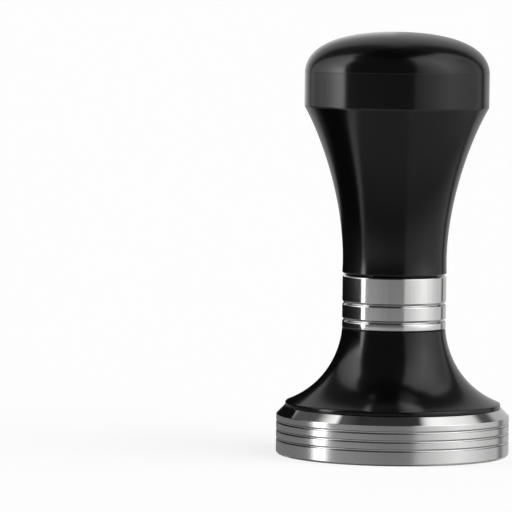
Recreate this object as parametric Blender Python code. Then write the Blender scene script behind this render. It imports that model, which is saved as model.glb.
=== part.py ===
"""A calibrated espresso tamper, built as the separate pieces it comes apart into.

Frame: metres, +Z up, origin on the turning axis at the middle of the tamping face.
From the bottom up, a steel base disc screws onto a centre shaft. The shaft's flange clamps a
grooved neck sleeve and a flared skirt down on the disc. The handle slides on the sleeve's spigot
and the shaft, and a preloaded spring pushes it up against two nuts. A domed cap closes the top.
Every height is stacked up from the table, and every radius in the neck outwards from the shaft.
"""

import math

import bmesh
import bpy
from mathutils import Matrix, Vector
from mathutils.geometry import interpolate_bezier

# ---------------------------------------------------------------- gaps between pieces
SEAT_GAP = 0.0003  # between two faces that rest on each other
FIT_GAP = 0.0001  # all round a piece that is pressed in or slides
THREAD_GAP = 0.0003  # all round a screwed joint, whose threads are plain cylinders here

# ---------------------------------------------------------------- driving dimensions
BASE_RADIUS = 0.0290
BASE_HEIGHT = 0.0119
BASE_TOP_CHAMFER = 0.0020
BASE_FOOT_CHAMFER = 0.0005
BASE_GROOVE_COUNT = 3
BASE_GROOVE_LOWEST = 0.0038  # height of the lowest groove's middle
BASE_GROOVE_PITCH = 0.0022
BASE_GROOVE_WIDTH = 0.0007
BASE_GROOVE_DEPTH = 0.0002

STUD_RADIUS = 0.0040  # the shaft's thread in the base
STUD_LENGTH = 0.0080
STUD_END_ROOM = 0.0008  # under the stud, at the bottom of its blind hole
SHAFT_RADIUS = 0.0050
SHAFT_FLANGE_HEIGHT = 0.0020
SHAFT_END_HEIGHT = 0.0015  # what stands above the lock nut

SKIRT_HEIGHT = 0.0190
SKIRT_RIM_MARGIN = 0.0002  # from the skirt's rim to the edge of the disc's top land
SKIRT_RIM_HEIGHT = 0.0008
SKIRT_WALL = 0.0036  # measured level, so the wall is thinner where it flares
SKIRT_WEB_HEIGHT = 0.0040
SKIRT_FLARE_REACH = 0.0130  # how far the curve follows the rim's slope
SKIRT_FLARE_RISE = 0.0051
SKIRT_NECK_REACH = 0.0009  # how far the curve follows the neck

SEAL_SECTION_RADIUS = 0.0004
SEAL_GROOVE_INSET = 0.0026  # from the rim to the seal groove

SLEEVE_HEIGHT = 0.01335
SLEEVE_TOP_CHAMFER = 0.0004
SLEEVE_FOOT_CHAMFER = 0.0003
SLEEVE_GROOVE_HEIGHTS = (0.0022, 0.0064)  # middles, above the sleeve's foot
SLEEVE_GROOVE_WIDTH = 0.0010
SLEEVE_GROOVE_DEPTH = 0.0004
SLEEVE_FLOOR_HEIGHT = 0.0025
SPIGOT_WALL = 0.0016
SPIGOT_HEIGHT = 0.0072  # above the sleeve's visible band

WIPER_SECTION_RADIUS = 0.0005
WIPER_LIFT = 0.0009  # from the sleeve's shoulder up to the wiper ring
BUMP_RING_HEIGHT = 0.0006

SPRING_WIRE_RADIUS = 0.0010
SPRING_SHAFT_ROOM = 0.00075
SPRING_BORE_ROOM = 0.00045
SPRING_LENGTH = 0.0230  # as installed, already squeezed
SPRING_TURNS = 8
SPRING_END_PITCH = 0.0023  # the closed turn at each end
SPRING_SEAT_HEIGHT = 0.0008

PRESS_STROKE = 0.00035
PRESS_REST = 0.0001  # what stays of the seam at full stroke

HANDLE_NECK_WALL = 0.0018
HANDLE_BUSH_WALL = 0.0011
HANDLE_PROUD = 0.0001  # the handle's foot stands this far outside the sleeve
HANDLE_FOOT_CHAMFER = 0.0002
HANDLE_FLARE_HEIGHT = 0.0413
HANDLE_BAND_HEIGHT = 0.0084
HANDLE_WAIST_REACH = 0.0157
HANDLE_WAIST_PINCH = 0.0008
HANDLE_KNOB_REACH = 0.0048
HANDLE_KNOB_DROP = 0.0084
HANDLE_WEB_HEIGHT = 0.0080
KNOB_RADIUS = 0.02295

PIN_RADIUS = 0.00125
PIN_REACH = 0.0030  # how far each end stands out of the shaft
UPPER_BUSH_WALL = 0.0015
UPPER_BUSH_LENGTH = 0.0034
WASHER_HEIGHT = 0.0015
NUT_HEIGHT = 0.0050
NUT_WALL = 0.0035  # from the thread to a flat
NUT_ROOM = 0.0012  # round the nuts' corners

CAP_DOME_HEIGHT = 0.0099
CAP_EDGE_PULL = 0.0005
CAP_EDGE_REACH = 0.0064
CAP_CROWN_REACH = 0.0143
CAP_SPIGOT_HEIGHT = 0.0080
CAP_SPIGOT_WALL = 0.0030
CAP_CROWN_WALL = 0.0045
CAP_SEAL_SECTION_RADIUS = 0.0006

DOWEL_RADIUS = 0.0010
DOWEL_DEPTH = 0.0030  # into the sleeve and into the skirt

OUTER_SEGMENTS = 48
INNER_SEGMENTS = 32
RING_SEGMENTS = 8  # round the section of an O-ring
CUT_ROOM = 0.0010  # how far a cutter runs past the face it opens

# ---------------------------------------------------------------- radii, outwards from the shaft
SPRING_INNER = SHAFT_RADIUS + SPRING_SHAFT_ROOM
SPRING_OUTER = SPRING_INNER + 2 * SPRING_WIRE_RADIUS
SLEEVE_BORE = SPRING_OUTER + SPRING_BORE_ROOM
SPIGOT_RADIUS = SLEEVE_BORE + SPIGOT_WALL
LOWER_BUSH_BORE = SPIGOT_RADIUS + FIT_GAP
LOWER_BUSH_RADIUS = LOWER_BUSH_BORE + HANDLE_BUSH_WALL
POCKET_RADIUS = LOWER_BUSH_RADIUS + FIT_GAP
NECK_RADIUS = POCKET_RADIUS + HANDLE_NECK_WALL
HANDLE_FOOT_RADIUS = NECK_RADIUS + HANDLE_PROUD
FLANGE_RADIUS = SLEEVE_BORE - SEAT_GAP
DOWEL_CIRCLE = SLEEVE_BORE + (NECK_RADIUS - SLEEVE_BORE) / 2

NUT_FLAT_RADIUS = SHAFT_RADIUS + NUT_WALL
NUT_CORNER_RADIUS = NUT_FLAT_RADIUS / math.cos(math.pi / 6)
CAVITY_RADIUS = NUT_CORNER_RADIUS + NUT_ROOM
CAP_SPIGOT_RADIUS = CAVITY_RADIUS + CAP_SPIGOT_WALL
MOUTH_RADIUS = CAP_SPIGOT_RADIUS + THREAD_GAP
CAP_SEAL_OUTER = MOUTH_RADIUS + 4 * CAP_SEAL_SECTION_RADIUS
UPPER_BUSH_BORE = SHAFT_RADIUS + FIT_GAP
UPPER_BUSH_RADIUS = UPPER_BUSH_BORE + UPPER_BUSH_WALL

LAND_RADIUS = BASE_RADIUS - BASE_TOP_CHAMFER
RIM_RADIUS = LAND_RADIUS - SKIRT_RIM_MARGIN
SEAL_CIRCLE = RIM_RADIUS - SEAL_GROOVE_INSET

# ---------------------------------------------------------------- heights, upwards from the table
STUD_FOOT_Z = BASE_HEIGHT - STUD_LENGTH
SKIRT_FOOT_Z = BASE_HEIGHT + SEAT_GAP
SKIRT_TOP_Z = SKIRT_FOOT_Z + SKIRT_HEIGHT
SLEEVE_FOOT_Z = SKIRT_TOP_Z + SEAT_GAP
SLEEVE_TOP_Z = SLEEVE_FOOT_Z + SLEEVE_HEIGHT
SPIGOT_TOP_Z = SLEEVE_TOP_Z + SPIGOT_HEIGHT
BUMP_TOP_Z = SPIGOT_TOP_Z + SEAT_GAP + BUMP_RING_HEIGHT
HANDLE_FOOT_Z = SLEEVE_TOP_Z + PRESS_STROKE + PRESS_REST
POCKET_ROOF_Z = BUMP_TOP_Z + PRESS_STROKE + PRESS_REST
WIPER_Z = SLEEVE_TOP_Z + WIPER_LIFT + WIPER_SECTION_RADIUS
LOWER_BUSH_FOOT_Z = WIPER_Z + WIPER_SECTION_RADIUS + PRESS_STROKE + SEAT_GAP

FLANGE_FOOT_Z = SLEEVE_FOOT_Z + SLEEVE_FLOOR_HEIGHT + SEAT_GAP
FLANGE_TOP_Z = FLANGE_FOOT_Z + SHAFT_FLANGE_HEIGHT
LOWER_SEAT_Z = FLANGE_TOP_Z + SEAT_GAP
SPRING_FOOT_Z = LOWER_SEAT_Z + SPRING_SEAT_HEIGHT + SEAT_GAP
UPPER_SEAT_Z = SPRING_FOOT_Z + SPRING_LENGTH + SEAT_GAP
WEB_FOOT_Z = UPPER_SEAT_Z + SPRING_SEAT_HEIGHT + SEAT_GAP
WEB_TOP_Z = WEB_FOOT_Z + HANDLE_WEB_HEIGHT
PIN_Z = WEB_FOOT_Z + PIN_RADIUS
PIN_SLOT_ROOF_Z = PIN_Z + PIN_RADIUS + PRESS_STROKE + FIT_GAP
BUSH_SEAT_Z = WEB_TOP_Z - UPPER_BUSH_LENGTH - SEAT_GAP
WASHER_Z = WEB_TOP_Z + SEAT_GAP
CALIBRATION_NUT_Z = WASHER_Z + WASHER_HEIGHT + SEAT_GAP
LOCK_NUT_Z = CALIBRATION_NUT_Z + NUT_HEIGHT + SEAT_GAP
SHAFT_TOP_Z = LOCK_NUT_Z + NUT_HEIGHT + SHAFT_END_HEIGHT

KNOB_FOOT_Z = HANDLE_FOOT_Z + HANDLE_FLARE_HEIGHT
HANDLE_TOP_Z = KNOB_FOOT_Z + HANDLE_BAND_HEIGHT
DOME_FOOT_Z = HANDLE_TOP_Z + SEAT_GAP
DOME_TOP_Z = DOME_FOOT_Z + CAP_DOME_HEIGHT
CAP_SPIGOT_FOOT_Z = DOME_FOOT_Z - CAP_SPIGOT_HEIGHT
MOUTH_FLOOR_Z = CAP_SPIGOT_FOOT_Z - SEAT_GAP
CAP_SEAL_SEAT_Z = DOME_FOOT_Z - 2 * CAP_SEAL_SECTION_RADIUS - 2 * SEAT_GAP


# ---------------------------------------------------------------- materials
def make_material(name, colour, roughness, metallic):
    """One Principled finish."""
    material = bpy.data.materials.new(name)
    material.use_nodes = True
    shader = material.node_tree.nodes["Principled BSDF"]
    shader.inputs["Base Color"].default_value = (*colour, 1.0)
    shader.inputs["Roughness"].default_value = roughness
    shader.inputs["Metallic"].default_value = metallic
    return material


FINISHES = {
    "steel": ((0.62, 0.62, 0.61), 0.25, 1.0),
    "black_anodised": ((0.012, 0.012, 0.013), 0.32, 0.0),
    "hardened_steel": ((0.36, 0.36, 0.37), 0.35, 1.0),
    "spring_steel": ((0.30, 0.31, 0.33), 0.30, 1.0),
    "bronze": ((0.58, 0.38, 0.18), 0.40, 1.0),
    "polymer": ((0.80, 0.78, 0.72), 0.50, 0.0),
    "rubber": ((0.015, 0.015, 0.015), 0.70, 0.0),
}


def finish(piece, kind):
    """Give a piece a material of its own in one of the finishes."""
    colour, roughness, metallic = FINISHES[kind]
    piece.data.materials.append(make_material(f"{piece.name}_{kind}", colour, roughness, metallic))


# ---------------------------------------------------------------- shape helpers
def add_piece(name, shape, kind, origin=(0.0, 0.0, 0.0)):
    """Turn a finished bmesh into a named object whose own origin is at the given place."""
    mesh = bpy.data.meshes.new(name)
    bmesh.ops.recalc_face_normals(shape, faces=shape.faces)
    shape.to_mesh(mesh)
    shape.free()
    mesh.transform(Matrix.Translation(-Vector(origin)))
    mesh.shade_smooth()
    mesh.set_sharp_from_angle(angle=math.radians(30))
    piece = bpy.data.objects.new(name, mesh)
    piece.location = origin
    bpy.context.collection.objects.link(piece)
    finish(piece, kind)
    return piece


def turned_shape(outline, segments, closed=True):
    """Spin an outline of (radius, height) points once round the Z axis."""
    shape = bmesh.new()
    points = [shape.verts.new((radius, 0.0, height)) for radius, height in outline]
    pairs = list(zip(points, points[1:]))
    if closed:
        pairs.append((points[-1], points[0]))
    edges = [shape.edges.new(pair) for pair in pairs]
    bmesh.ops.spin(
        shape,
        geom=points + edges,
        cent=(0.0, 0.0, 0.0),
        axis=(0.0, 0.0, 1.0),
        angle=math.tau,
        steps=segments,
        use_merge=True,
    )
    bmesh.ops.remove_doubles(shape, verts=shape.verts, dist=0.000001)
    return shape


def turned_ring(name, inner, outer, foot, height, kind, origin_z=0.0):
    """A plain washer, seat or bush."""
    outline = [(inner, foot), (outer, foot), (outer, foot + height), (inner, foot + height)]
    return add_piece(name, turned_shape(outline, INNER_SEGMENTS), kind, (0.0, 0.0, origin_z))


def o_ring(name, circle, section, height, origin_z=0.0):
    """A rubber ring of round section."""
    outline = []
    for step in range(RING_SEGMENTS):
        turn = math.tau * step / RING_SEGMENTS
        outline.append((circle + section * math.cos(turn), height + section * math.sin(turn)))
    shape = turned_shape(outline, INNER_SEGMENTS)
    return add_piece(name, shape, "rubber", (0.0, 0.0, origin_z))


def vee_groove(radius, middle, width, depth):
    """The three points of a groove in a cylinder's side, from its lower edge up."""
    return [(radius, middle - width / 2), (radius - depth, middle), (radius, middle + width / 2)]


def curve_points(start, start_pull, end_pull, end, count):
    """Points along a Bezier curve between two (radius, height) places."""
    handles = [Vector((*place, 0.0)) for place in (start, start_pull, end_pull, end)]
    return [(point.x, point.y) for point in interpolate_bezier(*handles, count)]


def cutter(name, shape):
    """An object that only cuts others."""
    piece = add_piece(name, shape, "steel")
    piece.hide_render = True
    piece.display_type = "WIRE"
    return piece


def cut(piece, tool):
    """Take a cutter away from a piece."""
    modifier = piece.modifiers.new(f"cut_{tool.name}", "BOOLEAN")
    modifier.operation = "DIFFERENCE"
    modifier.solver = "EXACT"
    modifier.object = tool


def upright_cylinder(radius, foot, top, segments, x=0.0):
    """A plain cylinder that stands at x."""
    shape = bmesh.new()
    bmesh.ops.create_cone(
        shape, cap_ends=True, segments=segments, radius1=radius, radius2=radius, depth=top - foot
    )
    bmesh.ops.translate(shape, verts=shape.verts, vec=(x, 0.0, (foot + top) / 2))
    return shape


def level_cylinder(radius, reach, height, segments):
    """A plain cylinder through the axis along X."""
    shape = bmesh.new()
    bmesh.ops.create_cone(
        shape, cap_ends=True, segments=segments, radius1=radius, radius2=radius, depth=2 * reach
    )
    bmesh.ops.rotate(shape, verts=shape.verts, matrix=Matrix.Rotation(math.pi / 2, 3, "Y"))
    bmesh.ops.translate(shape, verts=shape.verts, vec=(0.0, 0.0, height))
    return shape


# ---------------------------------------------------------------- base and what stands on it
def make_base_disc():
    """The steel disc that presses the coffee, with its side grooves and a blind threaded hole."""
    outline = [(0.0, 0.0), (BASE_RADIUS - BASE_FOOT_CHAMFER, 0.0), (BASE_RADIUS, BASE_FOOT_CHAMFER)]
    for index in range(BASE_GROOVE_COUNT):
        middle = BASE_GROOVE_LOWEST + index * BASE_GROOVE_PITCH
        outline += vee_groove(BASE_RADIUS, middle, BASE_GROOVE_WIDTH, BASE_GROOVE_DEPTH)
    hole = STUD_RADIUS + THREAD_GAP
    hole_floor = STUD_FOOT_Z - STUD_END_ROOM
    outline += [
        (BASE_RADIUS, BASE_HEIGHT - BASE_TOP_CHAMFER),
        (LAND_RADIUS, BASE_HEIGHT),
        (hole, BASE_HEIGHT),
        (hole, hole_floor),
        (0.0, hole_floor),
    ]
    return add_piece("base_disc", turned_shape(outline, OUTER_SEGMENTS, closed=False), "steel")


def make_base_seal():
    """The rubber ring in the skirt's foot that keeps coffee out of the joint with the disc."""
    middle = SKIRT_FOOT_Z + SEAL_SECTION_RADIUS
    return o_ring("base_seal_ring", SEAL_CIRCLE, SEAL_SECTION_RADIUS, middle, BASE_HEIGHT)


def skirt_flare(count):
    """The skirt's outer curve from its rim up to the neck."""
    rim = (RIM_RADIUS, SKIRT_FOOT_Z + SKIRT_RIM_HEIGHT)
    rim_pull = (RIM_RADIUS - SKIRT_FLARE_REACH, rim[1] + SKIRT_FLARE_RISE)
    neck_pull = (NECK_RADIUS, SKIRT_TOP_Z - SKIRT_NECK_REACH)
    return curve_points(rim, rim_pull, neck_pull, (NECK_RADIUS, SKIRT_TOP_Z), count)


def make_flared_skirt():
    """The hollow black flare between the disc and the neck."""
    flare = skirt_flare(count=10)
    web_foot = SKIRT_TOP_Z - SKIRT_WEB_HEIGHT
    inside = [(radius - SKIRT_WALL, height) for radius, height in flare if height < web_foot]
    groove_inner = SEAL_CIRCLE - SEAL_SECTION_RADIUS - FIT_GAP
    groove_outer = SEAL_CIRCLE + SEAL_SECTION_RADIUS + FIT_GAP
    groove_roof = SKIRT_FOOT_Z + 2 * SEAL_SECTION_RADIUS + FIT_GAP
    bore = STUD_RADIUS + THREAD_GAP
    outline = [(groove_outer, SKIRT_FOOT_Z), (RIM_RADIUS, SKIRT_FOOT_Z)]
    outline += flare
    outline += [(bore, SKIRT_TOP_Z), (bore, web_foot), (inside[-1][0], web_foot)]
    outline += reversed(inside)
    outline += [
        (inside[0][0], SKIRT_FOOT_Z),
        (groove_inner, SKIRT_FOOT_Z),
        (groove_inner, groove_roof),
        (groove_outer, groove_roof),
    ]
    skirt = add_piece(
        "flared_skirt", turned_shape(outline, OUTER_SEGMENTS), "black_anodised", (0.0, 0.0, BASE_HEIGHT)
    )
    cut(skirt, cutter("dowel_hole_in_skirt", dowel_hole(SKIRT_TOP_Z - DOWEL_DEPTH, SKIRT_TOP_Z + CUT_ROOM)))
    return skirt


def dowel_hole(foot, top):
    """The cutter for one half of the locating dowel's hole."""
    return upright_cylinder(DOWEL_RADIUS + FIT_GAP, foot, top, INNER_SEGMENTS // 2, DOWEL_CIRCLE)


def make_neck_sleeve():
    """The turned steel sleeve: two grooves outside, a floor for the shaft's flange, and a spigot."""
    outline = [
        (NECK_RADIUS - SLEEVE_FOOT_CHAMFER, SLEEVE_FOOT_Z),
        (NECK_RADIUS, SLEEVE_FOOT_Z + SLEEVE_FOOT_CHAMFER),
    ]
    for lift in SLEEVE_GROOVE_HEIGHTS:
        outline += vee_groove(
            NECK_RADIUS, SLEEVE_FOOT_Z + lift, SLEEVE_GROOVE_WIDTH, SLEEVE_GROOVE_DEPTH
        )
    wiper_floor = SPIGOT_RADIUS - WIPER_SECTION_RADIUS
    groove_foot = WIPER_Z - WIPER_SECTION_RADIUS - FIT_GAP
    groove_top = WIPER_Z + WIPER_SECTION_RADIUS + FIT_GAP
    bore = STUD_RADIUS + THREAD_GAP
    floor_top = SLEEVE_FOOT_Z + SLEEVE_FLOOR_HEIGHT
    outline += [
        (NECK_RADIUS, SLEEVE_TOP_Z - SLEEVE_TOP_CHAMFER),
        (NECK_RADIUS - SLEEVE_TOP_CHAMFER, SLEEVE_TOP_Z),
        (SPIGOT_RADIUS, SLEEVE_TOP_Z),
        (SPIGOT_RADIUS, groove_foot),
        (wiper_floor, groove_foot),
        (wiper_floor, groove_top),
        (SPIGOT_RADIUS, groove_top),
        (SPIGOT_RADIUS, SPIGOT_TOP_Z),
        (SLEEVE_BORE, SPIGOT_TOP_Z),
        (SLEEVE_BORE, floor_top),
        (bore, floor_top),
        (bore, SLEEVE_FOOT_Z),
    ]
    sleeve = add_piece("neck_sleeve", turned_shape(outline, OUTER_SEGMENTS), "steel", (0.0, 0.0, BASE_HEIGHT))
    hole = dowel_hole(SLEEVE_FOOT_Z - CUT_ROOM, SLEEVE_FOOT_Z + DOWEL_DEPTH)
    cut(sleeve, cutter("dowel_hole_in_sleeve", hole))
    return sleeve


def make_sleeve_dowel():
    """The pin that stops the sleeve turning on the skirt while the base is screwed on."""
    foot = SKIRT_TOP_Z - DOWEL_DEPTH + SEAT_GAP
    top = SLEEVE_FOOT_Z + DOWEL_DEPTH - SEAT_GAP
    shape = upright_cylinder(DOWEL_RADIUS, foot, top, INNER_SEGMENTS // 2, DOWEL_CIRCLE)
    return add_piece("sleeve_dowel", shape, "hardened_steel", (0.0, 0.0, BASE_HEIGHT))


# ---------------------------------------------------------------- shaft and what is on it
def make_centre_shaft():
    """The spine of the tamper: base thread, clamping flange, guide and nut thread in one piece."""
    outline = [
        (0.0, STUD_FOOT_Z),
        (STUD_RADIUS, STUD_FOOT_Z),
        (STUD_RADIUS, FLANGE_FOOT_Z),
        (FLANGE_RADIUS, FLANGE_FOOT_Z),
        (FLANGE_RADIUS, FLANGE_TOP_Z),
        (SHAFT_RADIUS, FLANGE_TOP_Z),
        (SHAFT_RADIUS, SHAFT_TOP_Z),
        (0.0, SHAFT_TOP_Z),
    ]
    shape = turned_shape(outline, INNER_SEGMENTS, closed=False)
    shaft = add_piece("centre_shaft", shape, "hardened_steel", (0.0, 0.0, BASE_HEIGHT))
    hole = level_cylinder(PIN_RADIUS + FIT_GAP, SHAFT_RADIUS + CUT_ROOM, PIN_Z, INNER_SEGMENTS // 2)
    cut(shaft, cutter("pin_hole_in_shaft", hole))
    return shaft


def make_cross_pin():
    """The pin through the shaft that runs in the handle's slot and stops the handle turning."""
    shape = level_cylinder(PIN_RADIUS, SHAFT_RADIUS + PIN_REACH, PIN_Z, INNER_SEGMENTS // 2)
    return add_piece("cross_pin", shape, "hardened_steel", (0.0, 0.0, BASE_HEIGHT))


def spring_path():
    """Points along the spring: a closed turn at each end and open turns between."""
    steps_per_turn = 16
    coil_radius = SPRING_INNER + SPRING_WIRE_RADIUS
    rise = SPRING_LENGTH - 2 * SPRING_WIRE_RADIUS
    open_turns = SPRING_TURNS - 2
    open_pitch = (rise - 2 * SPRING_END_PITCH) / open_turns
    height = SPRING_FOOT_Z + SPRING_WIRE_RADIUS
    path = []
    for step in range(SPRING_TURNS * steps_per_turn + 1):
        turn = step / steps_per_turn
        angle = math.tau * turn
        path.append((coil_radius * math.cos(angle), coil_radius * math.sin(angle), height))
        closed_here = turn < 1 or turn >= SPRING_TURNS - 1
        height += (SPRING_END_PITCH if closed_here else open_pitch) / steps_per_turn
    return path


def make_main_spring():
    """The preloaded compression spring that sets the tamping force."""
    curve = bpy.data.curves.new("main_spring", "CURVE")
    curve.dimensions = "3D"
    curve.bevel_depth = SPRING_WIRE_RADIUS
    curve.bevel_resolution = 2
    curve.use_fill_caps = True
    path = spring_path()
    wire = curve.splines.new("POLY")
    wire.points.add(len(path) - 1)
    for point, place in zip(wire.points, path):
        point.co = (place[0], place[1], place[2] - SPRING_FOOT_Z, 1.0)
    spring = bpy.data.objects.new("main_spring", curve)
    spring.location = (0.0, 0.0, SPRING_FOOT_Z)
    bpy.context.collection.objects.link(spring)
    finish(spring, "spring_steel")
    return spring


def make_hex_nut(name, foot):
    """A thin hexagon nut on the shaft's upper thread."""
    shape = upright_cylinder(NUT_CORNER_RADIUS, foot, foot + NUT_HEIGHT, 6)
    nut = add_piece(name, shape, "hardened_steel", (0.0, 0.0, BASE_HEIGHT))
    bore_radius = SHAFT_RADIUS + THREAD_GAP
    bore = upright_cylinder(bore_radius, foot - CUT_ROOM, foot + NUT_HEIGHT + CUT_ROOM, INNER_SEGMENTS)
    cut(nut, cutter(f"bore_of_{name}", bore))
    return nut


def make_shaft_fittings():
    """The spring, its seats, the stops and the nuts, from the flange up."""
    pieces = [make_sleeve_dowel(), make_cross_pin(), make_main_spring()]
    seat_bore = SHAFT_RADIUS + FIT_GAP
    pieces.append(
        turned_ring(
            "lower_spring_seat", seat_bore, FLANGE_RADIUS, LOWER_SEAT_Z, SPRING_SEAT_HEIGHT,
            "hardened_steel", BASE_HEIGHT,
        )
    )
    pieces.append(
        o_ring("neck_wiper_ring", SPIGOT_RADIUS + FIT_GAP, WIPER_SECTION_RADIUS, WIPER_Z, BASE_HEIGHT)
    )
    pieces.append(
        turned_ring(
            "bump_stop_ring", SLEEVE_BORE + FIT_GAP, SPIGOT_RADIUS, SPIGOT_TOP_Z + SEAT_GAP,
            BUMP_RING_HEIGHT, "polymer", BASE_HEIGHT,
        )
    )
    pieces.append(
        turned_ring(
            "thrust_washer", seat_bore, NUT_CORNER_RADIUS, WASHER_Z, WASHER_HEIGHT, "bronze", BASE_HEIGHT
        )
    )
    pieces.append(make_hex_nut("calibration_nut", CALIBRATION_NUT_Z))
    pieces.append(make_hex_nut("lock_nut", LOCK_NUT_Z))
    return pieces


# ---------------------------------------------------------------- handle and cap
def handle_flank(count):
    """The handle's outer curve from its foot up to the knob's lower edge."""
    foot = (HANDLE_FOOT_RADIUS, HANDLE_FOOT_Z + HANDLE_FOOT_CHAMFER)
    waist_pull = (HANDLE_FOOT_RADIUS - HANDLE_WAIST_PINCH, HANDLE_FOOT_Z + HANDLE_WAIST_REACH)
    knob_pull = (KNOB_RADIUS - HANDLE_KNOB_REACH, KNOB_FOOT_Z - HANDLE_KNOB_DROP)
    return curve_points(foot, waist_pull, knob_pull, (KNOB_RADIUS, KNOB_FOOT_Z), count)


def make_handle_body():
    """The black hourglass grip, bored in steps for the guide, the spring, the web and the nuts."""
    spring_room = SLEEVE_BORE + SPIGOT_WALL / 2
    web_bore = UPPER_BUSH_BORE + UPPER_BUSH_WALL / 2
    bush_pocket = UPPER_BUSH_RADIUS + FIT_GAP
    outline = [(HANDLE_FOOT_RADIUS - HANDLE_FOOT_CHAMFER, HANDLE_FOOT_Z)]
    outline += handle_flank(count=14)
    outline += [
        (KNOB_RADIUS, HANDLE_TOP_Z),
        (CAP_SEAL_OUTER, HANDLE_TOP_Z),
        (CAP_SEAL_OUTER, CAP_SEAL_SEAT_Z),
        (MOUTH_RADIUS, CAP_SEAL_SEAT_Z),
        (MOUTH_RADIUS, MOUTH_FLOOR_Z),
        (CAVITY_RADIUS, MOUTH_FLOOR_Z),
        (CAVITY_RADIUS, WEB_TOP_Z),
        (bush_pocket, WEB_TOP_Z),
        (bush_pocket, BUSH_SEAT_Z),
        (web_bore, BUSH_SEAT_Z),
        (web_bore, WEB_FOOT_Z),
        (spring_room, WEB_FOOT_Z),
        (spring_room, POCKET_ROOF_Z),
        (POCKET_RADIUS, POCKET_ROOF_Z),
        (POCKET_RADIUS, HANDLE_FOOT_Z),
    ]
    shape = turned_shape(outline, OUTER_SEGMENTS)
    handle = add_piece("handle_body", shape, "black_anodised", (0.0, 0.0, HANDLE_FOOT_Z))
    slot = bmesh.new()
    bmesh.ops.create_cube(slot, size=1.0)
    slot_foot = WEB_FOOT_Z - CUT_ROOM
    slot_length = 2 * (SHAFT_RADIUS + PIN_REACH + SEAT_GAP)
    slot_width = 2 * (PIN_RADIUS + FIT_GAP)
    bmesh.ops.scale(slot, verts=slot.verts, vec=(slot_length, slot_width, PIN_SLOT_ROOF_Z - slot_foot))
    bmesh.ops.translate(slot, verts=slot.verts, vec=(0.0, 0.0, (PIN_SLOT_ROOF_Z + slot_foot) / 2))
    cut(handle, cutter("pin_slot_in_handle", slot))
    return handle


def make_handle_fittings():
    """The two guide bushes pressed into the handle, and the seat under its web."""
    lower_length = SPIGOT_TOP_Z - LOWER_BUSH_FOOT_Z
    seat_radius = SLEEVE_BORE
    return [
        turned_ring(
            "lower_guide_bush", LOWER_BUSH_BORE, LOWER_BUSH_RADIUS, LOWER_BUSH_FOOT_Z, lower_length,
            "polymer", HANDLE_FOOT_Z,
        ),
        turned_ring(
            "upper_guide_bush", UPPER_BUSH_BORE, UPPER_BUSH_RADIUS, BUSH_SEAT_Z + SEAT_GAP,
            UPPER_BUSH_LENGTH, "bronze", HANDLE_FOOT_Z,
        ),
        turned_ring(
            "upper_spring_seat", SHAFT_RADIUS + FIT_GAP, seat_radius, UPPER_SEAT_Z, SPRING_SEAT_HEIGHT,
            "hardened_steel", HANDLE_FOOT_Z,
        ),
    ]


def make_cap_seal():
    """The rubber ring under the cap."""
    circle = MOUTH_RADIUS + 2 * CAP_SEAL_SECTION_RADIUS
    height = CAP_SEAL_SEAT_Z + SEAT_GAP + CAP_SEAL_SECTION_RADIUS
    return o_ring("cap_seal_ring", circle, CAP_SEAL_SECTION_RADIUS, height, HANDLE_TOP_Z)


def make_top_cap():
    """The domed palm cap with the threaded spigot that screws into the handle."""
    edge_pull = (KNOB_RADIUS - CAP_EDGE_PULL, DOME_FOOT_Z + CAP_EDGE_REACH)
    crown_pull = (CAP_CROWN_REACH, DOME_TOP_Z)
    dome = curve_points((KNOB_RADIUS, DOME_FOOT_Z), edge_pull, crown_pull, (0.0, DOME_TOP_Z), 10)
    ceiling = DOME_TOP_Z - CAP_CROWN_WALL
    outline = dome[::-1] + [
        (CAP_SPIGOT_RADIUS, DOME_FOOT_Z),
        (CAP_SPIGOT_RADIUS, CAP_SPIGOT_FOOT_Z),
        (CAVITY_RADIUS, CAP_SPIGOT_FOOT_Z),
        (CAVITY_RADIUS, ceiling),
        (0.0, ceiling),
    ]
    shape = turned_shape(outline, OUTER_SEGMENTS, closed=False)
    return add_piece("top_cap", shape, "black_anodised", (0.0, 0.0, HANDLE_TOP_Z))


# ---------------------------------------------------------------- assembly
def add_axis(name, height, parent=None):
    """An empty on the turning axis that a moving body hangs on."""
    axis = bpy.data.objects.new(name, None)
    bpy.context.collection.objects.link(axis)
    axis.location = (0.0, 0.0, height)
    axis.parent = parent
    if parent is not None:
        axis.location.z -= parent_height(parent)
    return axis


def parent_height(item):
    """How high an unturned item stands, its parents added up."""
    height = 0.0
    while item is not None:
        height += item.location.z
        item = item.parent
    return height


def hang(pieces, axis):
    """Parent pieces to an axis and leave them where they are."""
    for piece in pieces:
        piece.location.z -= parent_height(axis)
        piece.parent = axis


def main():
    for item in list(bpy.data.objects):
        bpy.data.objects.remove(item, do_unlink=True)
    make_base_disc()
    base_lift = add_axis("base_lift_axis", BASE_HEIGHT)
    hang([make_base_seal()], base_lift)
    base_turn = add_axis("base_turn_axis", BASE_HEIGHT, base_lift)
    hang([make_flared_skirt(), make_neck_sleeve(), make_centre_shaft()], base_turn)
    hang(make_shaft_fittings(), base_turn)
    press = add_axis("press_axis", HANDLE_FOOT_Z, base_turn)
    hang([make_handle_body()], press)
    hang(make_handle_fittings(), press)
    cap_lift = add_axis("cap_lift_axis", HANDLE_TOP_Z, press)
    hang([make_cap_seal()], cap_lift)
    cap_turn = add_axis("cap_turn_axis", HANDLE_TOP_Z, cap_lift)
    hang([make_top_cap()], cap_turn)


main()
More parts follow.
